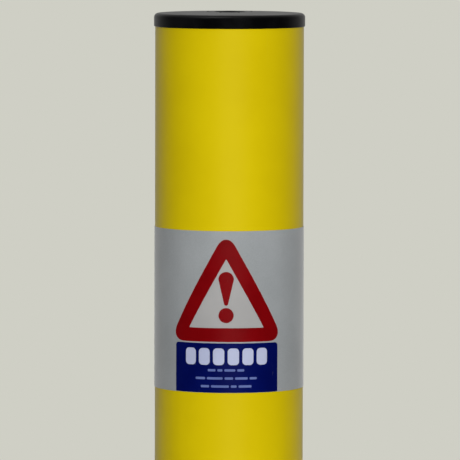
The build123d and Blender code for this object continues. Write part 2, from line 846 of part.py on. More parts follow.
# ================================================================ lock
with BuildPart() as lock_bolt:
    with BuildSketch(Plane.XY.offset(bolt_bottom)):
        with Locations((rack_x, bolt_start)):
            Rectangle(bolt_width, bolt_tip - bolt_start, align=(Align.MIN, Align.MIN))
    extrude(amount=bolt_height)
    chamfer(lock_bolt.edges().group_by(Axis.Y)[-1], bolt_chamfer)
    # rack teeth on the side that faces the pinion
    with BuildSketch(Plane.XY.offset(bolt_bottom)):
        for n in range(-rack_gaps_behind, rack_gaps_ahead + 1):
            gap_y = key_offset + n * rack_pitch
            with BuildLine():
                Polyline(
                    (rack_x, gap_y - rack_mouth / 2),
                    (rack_x + rack_depth, gap_y - rack_floor / 2),
                    (rack_x + rack_depth, gap_y + rack_floor / 2),
                    (rack_x, gap_y + rack_mouth / 2),
                    close=True,
                )
            make_face()
    extrude(amount=bolt_height, mode=Mode.SUBTRACT)
    # groove for the plunger, with a dimple where the bolt is held at each end of its throw
    with BuildSketch(Plane.XY.offset(bolt_top)):
        with Locations((bolt_x, plunger_y - bolt_throw / 2)):
            SlotCenterToCenter(bolt_throw, detent_groove_width, rotation=90)
    extrude(amount=-detent_groove_depth, mode=Mode.SUBTRACT)
    with BuildSketch(Plane.XY.offset(bolt_top)):
        with Locations(plunger_spot, (bolt_x, plunger_y - bolt_throw)):
            Circle(detent_dimple_radius)
    extrude(amount=-detent_dimple_depth, mode=Mode.SUBTRACT)
save(lock_bolt, "lock_bolt")

base_circle = pitch_r * cos(radians(pressure_angle))
half_tooth = (rack_pitch / 2 - gear_backlash) / 2 / pitch_r
pitch_involute = flank_slope - radians(pressure_angle)


def flank(radius, side):
    """The flank's point at a radius, on the +1 or -1 side of a tooth that points to +X."""
    roll = acos(base_circle / radius)
    angle = side * (half_tooth + pitch_involute - (tan(roll) - roll))
    return radius * cos(angle), radius * sin(angle)


with BuildSketch() as pinion_tooth:
    with BuildLine():
        flank_radii = (base_circle, (base_circle + outer_r) / 2, outer_r)
        lower_flank = Spline(*[flank(r, -1) for r in flank_radii])
        upper_flank = Spline(*[flank(r, 1) for r in flank_radii])
        Line(lower_flank @ 1, upper_flank @ 1)
        Polyline(
            upper_flank @ 0,
            (journal_radius + gear_module, (upper_flank @ 0).Y),
            (journal_radius + gear_module, (lower_flank @ 0).Y),
            lower_flank @ 0,
        )
    make_face()

with BuildPart() as pinion:
    with BuildSketch(Plane.XY.offset(pinion_bottom)):
        with Locations(key_spot):
            Circle(root_r)
            with PolarLocations(0, pinion_teeth):
                add(pinion_tooth.sketch)
            Circle(journal_radius, mode=Mode.SUBTRACT)
    extrude(amount=pinion_height)
    add(across_key(bolt_z, pinion_pin_radius, post_od), mode=Mode.SUBTRACT)
save(pinion, "pinion")

with BuildPart() as pinion_pin:
    add(across_key(bolt_z, pinion_pin_radius, 2 * (root_r - seat_gap)))
save(pinion_pin, "pinion_pin")

with BuildPart() as drive_rod:
    with BuildSketch(Plane.XY.offset(pinion_top)):
        with Locations(key_spot):
            Circle(drive_rod_radius)
    extrude(amount=spindle_end - pinion_top)
    with BuildSketch(Plane.XY.offset(journal_bottom)):
        with Locations(key_spot):
            Circle(journal_radius)
    extrude(amount=pinion_top - journal_bottom)
    add(across_key(bolt_z, pinion_pin_radius, post_od), mode=Mode.SUBTRACT)
    add(across_key(lower_pin_z, coupling_pin_radius, post_od), mode=Mode.SUBTRACT)
save(drive_rod, "drive_rod")

# ================================================================ ground frame
cover_screw_spots = [
    (cover_screw_circle * cos(radians(a)), cover_screw_circle * sin(radians(a))) for a in (0, 90, 180, 270)
]
cover_screw_cone = cover_screw_head - cover_screw
cone_bottom = -cover_screw_cone - countersink_clearance

with BuildPart() as cover_plate:
    with BuildSketch(Plane.XY.offset(cover_bottom)):
        RectangleRounded(frame_side, frame_side, frame_corner)
        Circle(guide_r + passing, mode=Mode.SUBTRACT)
        with GridLocations(2 * anchor_offset, 2 * anchor_offset, 2, 2):
            Circle(anchor_hole, mode=Mode.SUBTRACT)
    extrude(amount=cover_thickness)
    chamfer(cover_plate.faces().sort_by(Axis.Z)[-1].outer_wire().edges(), cover_edge)
    # seat for the wiper seal
    with BuildSketch(Plane.XY.offset(cover_bottom)):
        Circle(wiper_r + running)
    extrude(amount=wiper_depth, mode=Mode.SUBTRACT)
    with Locations(*[(x, y, 0) for x, y in cover_screw_spots]):
        CounterSinkHole(
            cover_screw + screw_clearance,
            cover_screw_head + screw_clearance,
            cover_thickness,
            counter_sink_angle=90,
        )
save(cover_plate, "cover_plate")

with BuildPart() as cover_screws:
    with BuildSketch(Plane.XY.offset(flange_bottom - cover_screw_past_flange)):
        with Locations(*cover_screw_spots):
            Circle(cover_screw)
    extrude(amount=cover_screw_cone + cone_bottom - flange_bottom + cover_screw_past_flange)
    with Locations(*[(x, y, cone_bottom) for x, y in cover_screw_spots]):
        Cone(cover_screw, cover_screw_head, cover_screw_cone, align=(Align.CENTER, Align.CENTER, Align.MIN))
    with BuildSketch(Plane.XY.offset(cone_bottom + cover_screw_cone)):
        with Locations(*cover_screw_spots):
            RegularPolygon(radius=cover_screw_socket, side_count=6)
    extrude(amount=-cover_screw_socket_depth, mode=Mode.SUBTRACT)
save(cover_screws, "cover_screws")

with BuildPart() as housing_flange:
    with BuildSketch(Plane.XY.offset(flange_bottom)):
        RectangleRounded(frame_side, frame_side, frame_corner)
        Circle(housing_r, mode=Mode.SUBTRACT)
        with GridLocations(2 * anchor_offset, 2 * anchor_offset, 2, 2):
            Circle(anchor_hole, mode=Mode.SUBTRACT)
        with Locations(*cover_screw_spots):
            Circle(cover_screw, mode=Mode.SUBTRACT)
    extrude(amount=flange_thickness)
save(housing_flange, "housing_flange")

# rubber wiper with a lip that keeps grit out of the guide
lip_r = cap_r + lip_clearance
wiper_top = cover_bottom + wiper_depth - running
with BuildPart() as wiper_seal:
    with BuildSketch(Plane.XZ):
        with BuildLine():
            Polyline(
                (wiper_r, cover_bottom),
                (wiper_r, wiper_top),
                (wiper_r - wiper_bead, wiper_top),
                (lip_r, wiper_top - slot_clearance),
                (lip_r, wiper_top - slot_clearance - wiper_lip_thickness),
                (wiper_r - wiper_bead, cover_bottom),
                close=True,
            )
        make_face()
    revolve(axis=Axis.Z)
save(wiper_seal, "wiper_seal")

with BuildPart() as guide_sleeve:
    with BuildSketch(Plane.XY.offset(sleeve_bottom)):
        Circle(sleeve_r)
        Circle(liner_r + running, mode=Mode.SUBTRACT)
    extrude(amount=cover_bottom - sleeve_bottom)
    with BuildSketch(Plane.XY.offset(housing_top)):
        Circle(housing_r - press_in)
        Circle(liner_r + running, mode=Mode.SUBTRACT)
    extrude(amount=sleeve_flange)
    with BuildSketch(Plane.XY.offset(sleeve_bottom)):
        Circle(sleeve_r)
        Circle(guide_r + 2 * passing, mode=Mode.SUBTRACT)
    extrude(amount=sleeve_lip)
save(guide_sleeve, "guide_sleeve")

with BuildPart() as guide_liner:
    with BuildSketch(Plane.XY.offset(liner_bottom)):
        Circle(liner_r)
        Circle(guide_r, mode=Mode.SUBTRACT)
        # grit grooves down the bore
        with PolarLocations(guide_r, grit_groove_count):
            Circle(grit_groove_radius, mode=Mode.SUBTRACT)
    extrude(amount=cover_bottom - liner_bottom)
save(guide_liner, "guide_liner")

# ================================================================ ground housing
with BuildPart() as housing_tube:
    with BuildSketch(Plane.XY.offset(base_top)):
        Circle(housing_r)
        Circle(housing_ir, mode=Mode.SUBTRACT)
    extrude(amount=housing_top - base_top)
    # bolt windows at the raised and the lowered place
    with BuildSketch(Plane.XZ):
        with Locations(*[(bolt_x, z) for z in keeper_heights]):
            Rectangle(bolt_width + 4 * slot_clearance, bolt_height + 4 * slot_clearance)
    extrude(amount=-housing_od, mode=Mode.SUBTRACT)
    with BuildSketch(Plane.YZ):
        with Locations((0, drain_z)):
            Circle(drain_ir)
    extrude(amount=-housing_od, mode=Mode.SUBTRACT)
save(housing_tube, "housing_tube")


def outside_housing():
    """The housing's own round space, taken out of what is welded to its outside."""
    with BuildPart() as space:
        with BuildSketch(Plane.XY.offset(base_bottom)):
            Circle(housing_r)
        extrude(amount=-base_bottom)
    return space.part


keeper_inside = keeper_side - 2 * keeper_wall
with BuildPart() as keeper_pockets:
    with BuildSketch(Plane.XZ):
        with Locations(*[(bolt_x, z) for z in keeper_heights]):
            RectangleRounded(keeper_side, keeper_side, keeper_corner)
    extrude(amount=-keeper_reach)
    with BuildSketch(Plane.XZ):
        with Locations(*[(bolt_x, z) for z in keeper_heights]):
            RectangleRounded(keeper_inside, keeper_inside, keeper_corner - keeper_wall)
    extrude(amount=keeper_wall - keeper_reach, mode=Mode.SUBTRACT)
    add(outside_housing(), mode=Mode.SUBTRACT)
save(keeper_pockets, "keeper_pockets")

with BuildPart() as anti_turn_rail:
    with BuildSketch(Plane.XY.offset(base_top + rail_above_base)):
        Circle(housing_ir)
        with Locations((-rail_inner, 0)):
            Rectangle(housing_r, rail_width, align=(Align.MAX, Align.CENTER), mode=Mode.INTERSECT)
    extrude(amount=sleeve_bottom - seat_gap - base_top - rail_above_base)
save(anti_turn_rail, "anti_turn_rail")

with BuildPart() as housing_base_plate:
    with BuildSketch(Plane.XY.offset(base_bottom)):
        RectangleRounded(base_side, base_side, base_corner)
        with PolarLocations(buffer_circle, buffer_count):
            Circle(buffer_stud, mode=Mode.SUBTRACT)
    extrude(amount=base_thickness)
save(housing_base_plate, "housing_base_plate")

with BuildPart() as down_stop_buffers:
    with BuildSketch(Plane.XY.offset(base_top)):
        with PolarLocations(buffer_circle, buffer_count):
            Circle(buffer_radius)
    extrude(amount=buffer_height)
    fillet(down_stop_buffers.edges().group_by(Axis.Z)[-1], buffer_edge_radius)
save(down_stop_buffers, "down_stop_buffers")

with BuildPart() as buffer_studs:
    with BuildSketch(Plane.XY.offset(base_bottom + through)):
        with PolarLocations(buffer_circle, buffer_count):
            Circle(buffer_stud)
    extrude(amount=base_thickness - through)
save(buffer_studs, "buffer_studs")

with BuildPart() as drain_spigot:
    with BuildSketch(Plane.YZ.offset(-drain_reach)):
        with Locations((0, drain_z)):
            Circle(drain_r)
    extrude(amount=drain_reach)
    # shoulder that the drain pipe's socket stops against
    with BuildSketch(Plane.YZ.offset(-drain_stop_face)):
        with Locations((0, drain_z)):
            Circle(drain_r + drain_stop_rim)
    extrude(amount=drain_stop_face)
    with BuildSketch(Plane.YZ.offset(-drain_reach)):
        with Locations((0, drain_z)):
            Circle(drain_ir)
    extrude(amount=drain_reach, mode=Mode.SUBTRACT)
    add(outside_housing(), mode=Mode.SUBTRACT)
save(drain_spigot, "drain_spigot")

with BuildPart() as flange_gussets:
    for angle in screw_angles:
        a = radians(angle)
        web = Plane(origin=(0, 0, flange_bottom), x_dir=(cos(a), sin(a), 0), z_dir=(sin(a), -cos(a), 0))
        with BuildSketch(web.offset(-gusset_thickness / 2)):
            with BuildLine():
                Polyline(
                    (housing_r - gusset_toe, 0),
                    (housing_r + gusset_leg, 0),
                    (housing_r + gusset_leg, -gusset_toe),
                    (housing_r + gusset_toe, -gusset_leg),
                    (housing_r - gusset_toe, -gusset_leg),
                    close=True,
                )
            make_face()
        extrude(amount=gusset_thickness)
    add(outside_housing(), mode=Mode.SUBTRACT)
save(flange_gussets, "flange_gussets")

# fishtail lugs that key the housing into the concrete, each tail bent to its own side
lug_levels = ((-upper_lug_depth, (45, 135, 225, 315)), (-lower_lug_depth, (0, 90, 180, 270)))
lug_bend = housing_r + lug_reach

with BuildPart() as anchor_lugs:
    for level, angles in lug_levels:
        for angle in angles:
            a = radians(angle)
            strip = Plane(origin=(0, 0, level), x_dir=(cos(a), sin(a), 0), z_dir=(0, 0, 1))
            for half in (1, -1):
                splay = half * radians(lug_splay)
                tail_end = (lug_bend + lug_tail * cos(splay), lug_tail * sin(splay))
                with BuildSketch(strip):
                    with BuildLine():
                        Polyline((housing_r - gusset_toe, 0), (lug_bend, 0), tail_end)
                    trace(line_width=lug_thickness)
                extrude(amount=half * lug_height / 2)
    add(outside_housing(), mode=Mode.SUBTRACT)
save(anchor_lugs, "anchor_lugs")

print("travel", travel, "bolt throw", round(bolt_throw, 3), "bolt tip", round(bolt_tip, 2))
print("whole height", round(raised_height - base_bottom, 1), "strut", round(strut_length, 1))
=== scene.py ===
import json
from math import atan2, ceil, cos, hypot, pi, radians, sin, sqrt

import bmesh
import bpy
from mathutils import Matrix, Vector


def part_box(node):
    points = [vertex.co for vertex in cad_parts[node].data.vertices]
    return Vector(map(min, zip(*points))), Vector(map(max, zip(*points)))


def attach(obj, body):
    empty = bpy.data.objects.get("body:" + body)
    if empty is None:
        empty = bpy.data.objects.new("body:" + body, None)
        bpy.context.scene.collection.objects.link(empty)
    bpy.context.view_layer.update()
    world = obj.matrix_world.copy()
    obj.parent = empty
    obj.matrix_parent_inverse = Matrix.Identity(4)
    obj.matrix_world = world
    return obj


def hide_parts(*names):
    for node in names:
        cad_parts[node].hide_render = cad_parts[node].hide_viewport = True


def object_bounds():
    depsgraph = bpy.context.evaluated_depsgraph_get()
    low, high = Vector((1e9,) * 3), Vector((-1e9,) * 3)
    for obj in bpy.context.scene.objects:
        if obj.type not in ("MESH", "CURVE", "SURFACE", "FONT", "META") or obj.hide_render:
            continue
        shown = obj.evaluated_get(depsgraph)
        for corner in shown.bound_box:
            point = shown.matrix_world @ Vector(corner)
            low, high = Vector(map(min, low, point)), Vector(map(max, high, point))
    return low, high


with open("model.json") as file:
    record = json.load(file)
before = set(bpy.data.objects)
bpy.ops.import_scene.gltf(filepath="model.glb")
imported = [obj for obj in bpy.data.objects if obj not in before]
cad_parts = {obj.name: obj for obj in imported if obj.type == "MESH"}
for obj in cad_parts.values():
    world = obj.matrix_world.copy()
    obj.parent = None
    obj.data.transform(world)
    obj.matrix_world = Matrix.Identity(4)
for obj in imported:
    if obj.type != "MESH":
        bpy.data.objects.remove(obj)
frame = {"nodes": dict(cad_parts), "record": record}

# Retractable bollard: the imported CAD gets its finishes, and its tape, stickers, welds and rubber are made here.
# Metres, Z up, ground at Z = 0, the stickers face -Y.
scene = bpy.context.scene
nodes = frame["nodes"]
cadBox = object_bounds()
mm = 0.001
print("frame loaded:", len(nodes), "CAD nodes")


# Materials: one class for a socket in a sum, one for a finish being built
class Wire:
    def __init__(self, finish, socket):
        self.finish, self.socket = finish, socket

    def calc(self, operation, *values):
        return self.finish.node("ShaderNodeMath", {"operation": operation}, list(values))

    def __add__(self, other):
        return self.calc("ADD", self, other)

    def __radd__(self, other):
        return self.calc("ADD", other, self)

    def __sub__(self, other):
        return self.calc("SUBTRACT", self, other)

    def __rsub__(self, other):
        return self.calc("SUBTRACT", other, self)

    def __mul__(self, other):
        return self.calc("MULTIPLY", self, other)

    def __rmul__(self, other):
        return self.calc("MULTIPLY", other, self)

    def __pow__(self, other):
        return self.calc("POWER", self, other)


class Finish:
    def __init__(self, name, onto=None, **plain):
        self.material = onto or bpy.data.materials.new(name)
        self.material.use_nodes = True
        self.tree = self.material.node_tree
        self.shader = self.tree.nodes.get("Principled BSDF")
        self.place = self.node("ShaderNodeTexCoord", out="Object")
        for socket, value in plain.items():  # settings that are the same all over
            self.shader.inputs[socket.replace("_", " ")].default_value = value

    def node(self, kind, settings=None, sockets=(), out=0):
        made = self.tree.nodes.new(kind)
        for name, value in (settings or {}).items():
            setattr(made, name, value)
        for key, value in (sockets.items() if isinstance(sockets, dict) else enumerate(sockets)):
            if isinstance(value, Wire):
                self.tree.links.new(value.socket, made.inputs[key])
            else:
                made.inputs[key].default_value = value
        return Wire(self, made.outputs[out])

    def feed(self, socket, wire):
        self.tree.links.new(wire.socket, self.shader.inputs[socket])

    def stretched(self, x, y, z):
        return self.node("ShaderNodeMapping", None, {"Vector": self.place, "Scale": (x, y, z)})

    def noise(self, scale, detail=3.0, rough=0.55, place=None):
        return self.node("ShaderNodeTexNoise", None, {
            "Vector": place or self.place, "Scale": scale, "Detail": detail, "Roughness": rough})

    def cells(self, scale, out="Distance", place=None):
        return self.node("ShaderNodeTexVoronoi", None, {"Vector": place or self.place, "Scale": scale}, out)

    def ramp(self, wire, low, high, start=0.0, end=1.0):
        return self.node("ShaderNodeMapRange", {"interpolation_type": "SMOOTHSTEP"},
                         [wire, low, high, start, end])

    def axis(self, index):
        return self.node("ShaderNodeSeparateXYZ", None, [self.place], index)

    def reach(self):
        return (self.axis(0) ** 2.0 + self.axis(1) ** 2.0) ** 0.5  # distance from the post's axis

    def mix(self, factor, first, second):
        return self.node("ShaderNodeMix", {"data_type": "RGBA"}, {0: factor, 6: first, 7: second}, 2)

    def bump(self, height, depth, strength=1.0):
        self.feed("Normal", self.node("ShaderNodeBump", None, {
            "Strength": strength, "Distance": depth, "Height": height}))

    def coat(self, colour, roughness):
        self.feed("Base Color", colour)
        self.feed("Roughness", roughness)
        return self.material


def tint(red, green, blue):
    # a colour given as 0 to 255 on screen, as light
    return tuple((c / 255 / 12.92) if c < 11 else (((c / 255) + 0.055) / 1.055) ** 2.4
                 for c in (red, green, blue)) + (1.0,)


yellowCoat = {"fresh": tint(232, 207, 8), "deep": tint(222, 195, 6), "chalk": tint(226, 208, 70),
              "dust": tint(120, 104, 62), "peel": 520.0, "peelDepth": 0.00005, "dustTop": 0.09}


def yellowPowderCoat():
    look = Finish("yellowPowderCoat", Specular_IOR_Level=0.16)
    cloud = look.noise(9.0, 4.0)
    peel = look.noise(yellowCoat["peel"], 2.0)
    streak = look.ramp(look.noise(1.0, 4.0, 0.6, look.stretched(900.0, 900.0, 9.0)), 0.62, 0.74)
    rubbed = look.ramp(look.noise(7.0, 3.0), 0.45, 0.7)
    scuff = streak * rubbed
    low = look.ramp(look.axis(2), 0.0, yellowCoat["dustTop"], 1.0, 0.0)
    dust = low * look.ramp(look.noise(60.0, 5.0, 0.65), 0.35, 0.75)
    colour = look.mix(look.ramp(cloud, 0.3, 0.7), yellowCoat["deep"], yellowCoat["fresh"])
    colour = look.mix(scuff * 0.35, colour, yellowCoat["chalk"])
    colour = look.mix(dust * 0.4, colour, yellowCoat["dust"])
    look.bump(peel + scuff * -0.4, yellowCoat["peelDepth"], 0.6)
    return look.coat(colour, 0.33 + 0.08 * cloud + 0.12 * scuff + 0.3 * dust)


capPlastic = {"black": (0.0022, 0.0022, 0.0025, 1), "worn": (0.011, 0.011, 0.012, 1), "grain": 2600.0}


def blackMoulding():
    look = Finish("blackMoulding", Specular_IOR_Level=0.12)
    grain = look.noise(capPlastic["grain"], 2.0)
    scratch = look.ramp(look.noise(1.0, 5.0, 0.7, look.stretched(60.0, 1400.0, 60.0)), 0.64, 0.7)
    handled = look.noise(45.0, 4.0)
    rim = look.ramp(look.reach(), 0.0415, 0.0447) * look.ramp(handled, 0.42, 0.66)
    colour = look.mix(rim * 0.5 + scratch * 0.25, capPlastic["black"], capPlastic["worn"])
    look.bump(grain + scratch * -0.5, 0.00004, 0.5)
    return look.coat(colour, 0.3 + 0.12 * handled + 0.1 * scratch)


# bead is the lighter colour painted on the tape's bead dots: a painted glint on each bead, not a colour the film
# has under any lamp
tapeFilm = {"silver": tint(168, 172, 174), "shade": tint(158, 162, 164), "bead": tint(206, 211, 214),
            "soil": tint(120, 118, 110), "beadScale": 2400.0}


def reflectiveTape():
    look = Finish("reflectiveTape", Specular_IOR_Level=0.25, Sheen_Weight=0.45, Sheen_Roughness=0.4)
    # glint marks the bead dots: they get a real raised bump and a smoother finish, and are also painted lighter,
    # which is a painted glint
    glint = look.ramp(look.cells(tapeFilm["beadScale"]), 0.15, 0.5, 1.0, 0.0)
    cloud = look.noise(26.0, 4.0)
    grime = look.ramp(look.noise(70.0, 5.0, 0.65, look.stretched(1.0, 1.0, 0.35)), 0.56, 0.8)
    colour = look.mix(look.ramp(cloud, 0.3, 0.7), tapeFilm["shade"], tapeFilm["silver"])
    colour = look.mix(glint * 0.3, colour, tapeFilm["bead"])
    colour = look.mix(grime * 0.12, colour, tapeFilm["soil"])
    look.bump(glint, 0.00003, 0.35)
    return look.coat(colour, 0.4 + 0.12 * cloud - 0.08 * glint)


vinylPrint = {"red": (0.235, 0.0014, 0.0034, 1), "redDeep": (0.20, 0.001, 0.0026, 1),
              "blue": (0.0008, 0.0044, 0.10, 1), "blueDeep": (0.0006, 0.0034, 0.082, 1),
              "white": (0.56, 0.60, 0.80, 1), "whiteDeep": (0.50, 0.54, 0.74, 1),
              "faint": (0.15, 0.20, 0.48, 1), "faintDeep": (0.12, 0.165, 0.42, 1),
              "backing": (0.46, 0.452, 0.446, 1), "backingDeep": (0.43, 0.423, 0.418, 1)}


def vinyl(name, shade, roughness):
    look = Finish(name, Specular_IOR_Level=0.14)
    cloud = look.noise(55.0, 4.0)
    grain = look.noise(1500.0, 2.0)
    nick = look.ramp(look.noise(1.0, 4.0, 0.65, look.stretched(500.0, 500.0, 60.0)), 0.68, 0.76)
    colour = look.mix(look.ramp(cloud, 0.3, 0.7), vinylPrint[shade + "Deep"], vinylPrint[shade])
    colour = look.mix(nick * 0.12, colour, vinylPrint["backing"])
    look.bump(grain + cloud * 0.8, 0.00002, 0.35)
    return look.coat(colour, roughness + 0.1 * cloud + 0.1 * nick)


metals = {
    "stainlessCover": {"bright": (0.56, 0.55, 0.53, 1), "dull": (0.40, 0.395, 0.38, 1),
                       "rough": 0.3, "brush": (30, 1600, 30)},
    "turnedSteel": {"bright": (0.36, 0.35, 0.34, 1), "dull": (0.22, 0.21, 0.20, 1),
                    "rough": 0.34, "brush": (60, 60, 1800)},
    "zincPlate": {"bright": (0.60, 0.60, 0.57, 1), "dull": (0.46, 0.47, 0.46, 1),
                  "rough": 0.32, "brush": (200, 200, 500)},
    "groundChrome": {"bright": (0.66, 0.67, 0.69, 1), "dull": (0.58, 0.59, 0.61, 1),
                     "rough": 0.1, "brush": (60, 60, 2400)},
    "bronzeBush": {"bright": (0.52, 0.33, 0.13, 1), "dull": (0.36, 0.21, 0.08, 1),
                   "rough": 0.34, "brush": (60, 60, 1500)},
}


def brushedMetal(name):
    given = metals[name]
    look = Finish(name, Metallic=0.7)
    brush = look.noise(1.0, 4.0, 0.6, look.stretched(*given["brush"]))
    smear = look.noise(34.0, 5.0, 0.6)
    speck = look.ramp(look.noise(420.0, 3.0), 0.68, 0.76)
    colour = look.mix(look.ramp(smear, 0.3, 0.7), given["dull"], given["bright"])
    colour = look.mix(speck * 0.4, colour, given["dull"])
    look.bump(brush + speck * -0.6, 0.00003, 0.4)
    return look.coat(colour, given["rough"] + 0.12 * smear + 0.1 * brush + 0.12 * speck)


galvanising = {"bright": (0.47, 0.49, 0.50, 1), "dark": (0.385, 0.405, 0.418, 1),
               "bloom": (0.58, 0.59, 0.58, 1), "soil": (0.16, 0.12, 0.075, 1), "spangle": 130.0}


def galvanisedSteel():
    look = Finish("galvanisedSteel")
    ripple = look.node("ShaderNodeTexNoise", None, {"Vector": look.place, "Scale": 90.0}, "Color")
    warped = look.node("ShaderNodeVectorMath", {"operation": "MULTIPLY_ADD"}, [ripple, (0.006,) * 3, look.place])
    flake = look.cells(galvanising["spangle"], "Color", warped)
    tone = look.node("ShaderNodeSeparateColor", None, [flake])
    feather = look.noise(1.0, 3.0, 0.6, look.stretched(260.0, 90.0, 420.0))
    bloom = look.ramp(look.noise(18.0, 6.0, 0.65), 0.54, 0.74)
    soil = look.ramp(look.noise(11.0, 5.0, 0.6), 0.5, 0.72) * look.ramp(look.axis(2), -0.03, -0.2)
    colour = look.mix(tone * 0.6 + feather * 0.4, galvanising["dark"], galvanising["bright"])
    colour = look.mix(bloom * 0.5, colour, galvanising["bloom"])
    colour = look.mix(soil * 0.35, colour, galvanising["soil"])
    look.feed("Metallic", 0.5 - 0.2 * bloom - 0.3 * soil)
    look.bump(tone * 0.3 + look.noise(160.0, 4.0), 0.00012, 0.5)
    return look.coat(colour, 0.4 + 0.16 * tone + 0.14 * bloom + 0.2 * soil)


weldMetal = {"bead": (0.30, 0.30, 0.295, 1), "scale": (0.13, 0.125, 0.12, 1)}


def weldBead():
    look = Finish("weldBead")
    crust = look.noise(380.0, 4.0, 0.65)
    patch = look.noise(60.0, 4.0)
    look.feed("Metallic", 0.5 - 0.3 * look.ramp(crust, 0.5, 0.7))
    look.bump(crust, 0.0002, 0.6)
    colour = look.mix(look.ramp(patch + crust * 0.3, 0.45, 0.85), weldMetal["bead"], weldMetal["scale"])
    return look.coat(colour, 0.42 + 0.2 * crust)


mouldings = {
    "blackRubber": {"base": (0.012, 0.012, 0.012, 1), "worn": (0.045, 0.044, 0.042, 1),
                    "rough": 0.62, "grain": 1300.0, "depth": 0.08 * mm},
    "guideNylon": {"base": (0.66, 0.63, 0.55, 1), "worn": (0.50, 0.46, 0.38, 1),
                   "rough": 0.4, "grain": 900.0, "depth": 0.03 * mm},
    "greyMoulding": {"base": (0.16, 0.165, 0.17, 1), "worn": (0.23, 0.235, 0.235, 1),
                     "rough": 0.46, "grain": 1500.0, "depth": 0.05 * mm},
    "greyPipe": {"base": (0.26, 0.27, 0.28, 1), "worn": (0.36, 0.365, 0.37, 1),
                 "rough": 0.34, "grain": 700.0, "depth": 0.02 * mm},
    "blackStrutPaint": {"base": (0.008, 0.008, 0.009, 1), "worn": (0.03, 0.03, 0.03, 1),
                        "rough": 0.26, "grain": 650.0, "depth": 0.04 * mm},
}


def moulded(name):
    given = mouldings[name]
    look = Finish(name)
    grain = look.noise(given["grain"], 2.0)
    cloud = look.noise(40.0, 5.0, 0.6)
    rub = look.ramp(look.noise(1.0, 4.0, 0.65, look.stretched(160.0, 160.0, 700.0)), 0.6, 0.74)
    colour = look.mix(look.ramp(cloud, 0.35, 0.75) * 0.4 + rub * 0.4, given["base"], given["worn"])
    look.bump(grain + rub * -0.3, given["depth"], 0.6)
    return look.coat(colour, given["rough"] + 0.14 * cloud + 0.08 * rub)


finishes = {"blackMoulding": blackMoulding(), "yellowPowderCoat": yellowPowderCoat(),
            "reflectiveTape": reflectiveTape(),
            "redVinyl": vinyl("redVinyl", "red", 0.32), "blueVinyl": vinyl("blueVinyl", "blue", 0.34),
            "whiteVinyl": vinyl("whiteVinyl", "white", 0.4),
            "paleVinyl": vinyl("paleVinyl", "backing", 0.42),
            "faintVinyl": vinyl("faintVinyl", "faint", 0.4),
            "galvanisedSteel": galvanisedSteel(), "weldBead": weldBead()}
for name in metals:
    finishes[name] = brushedMetal(name)
for name in mouldings:
    finishes[name] = moulded(name)

finishBySlot = {
    "yellow_powder_coat": "yellowPowderCoat", "black_plastic": "blackMoulding",
    "reflective_tape": "reflectiveTape", "red_vinyl": "redVinyl", "blue_vinyl": "blueVinyl",
    "stainless_cover": "stainlessCover", "galvanised_steel": "galvanisedSteel", "bare_steel": "turnedSteel",
    "zinc_plate": "zincPlate", "black_strut_paint": "blackStrutPaint", "ground_chrome": "groundChrome",
    "bronze": "bronzeBush", "guide_nylon": "guideNylon", "grey_moulding": "greyMoulding",
    "black_rubber": "blackRubber", "grey_pvc": "greyPipe"}
for part in frame["record"]["subparts"]:
    if part["node"] in nodes:
        slots = nodes[part["node"]].data.materials
        slots.clear()
        slots.append(finishes[finishBySlot[part["material_slot"]]])
print("finishes made:", len(finishes))


def moved(bm, verts, x=0.0, y=0.0, z=0.0):
    bmesh.ops.translate(bm, verts=verts, vec=(x, y, z))


def newPiece(bm, name, finish, body, sharp=38.0, hides=()):
    bmesh.ops.remove_doubles(bm, verts=bm.verts, dist=1e-7)
    bmesh.ops.recalc_face_normals(bm, faces=bm.faces)
    openEdges = sum(1 for e in bm.edges if len(e.link_faces) != 2)
    mesh = bpy.data.meshes.new(name)
    bm.to_mesh(mesh)
    bm.free()
    mesh.materials.append(finishes[finish])
    mesh.shade_smooth()
    mesh.set_sharp_from_angle(angle=radians(sharp))
    piece = bpy.data.objects.new(name, mesh)
    scene.collection.objects.link(piece)
    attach(piece, body)
    if hides:
        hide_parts(*hides)
    print("  made", name, "with", len(mesh.polygons), "faces and", openEdges, "open edges")
    return piece


def film(bm, thickness, strip):
    # cuts flat work into narrow strips that can bend, and gives it a thickness along +Y
    across = [v.co.x for v in bm.verts]
    for n in range(1, ceil((max(across) - min(across)) / strip)):
        bmesh.ops.bisect_plane(bm, geom=bm.verts[:] + bm.edges[:] + bm.faces[:], dist=1e-7,
                               plane_co=(min(across) + n * strip, 0, 0), plane_no=(1, 0, 0))
    risen = bmesh.ops.extrude_face_region(bm, geom=bm.faces[:])["geom"]
    moved(bm, [v for v in risen if isinstance(v, bmesh.types.BMVert)], y=thickness)


def wrap(bm, radius, turn):
    # lays flat work round the front of the post: X runs along the skin, Y stands off it
    for v in bm.verts:
        angle = v.co.x / radius + turn
        out = radius + v.co.y
        v.co = Vector((out * sin(angle), -out * cos(angle), v.co.z))


def stood(bm, verts):
    bmesh.ops.rotate(bm, verts=verts, cent=(0, 0, 0), matrix=Matrix.Rotation(radians(90), 3, "X"))


def joined(first, second):
    # adds the second bmesh to the first
    spare = bpy.data.meshes.new("spare")
    second.to_mesh(spare)
    second.free()
    first.from_mesh(spare)
    bpy.data.meshes.remove(spare)


tape = {"lap": 13 * mm, "lowEdgeUp": 0.9 * mm, "filmThickness": 0.3 * mm, "edgeRound": 0.08 * mm,
        "turnSteps": 180, "lapSteps": 8}
bandLo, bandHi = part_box("reflective_band")
tapeInner = min(hypot(v.co.x, v.co.y) for v in nodes["reflective_band"].data.vertices)


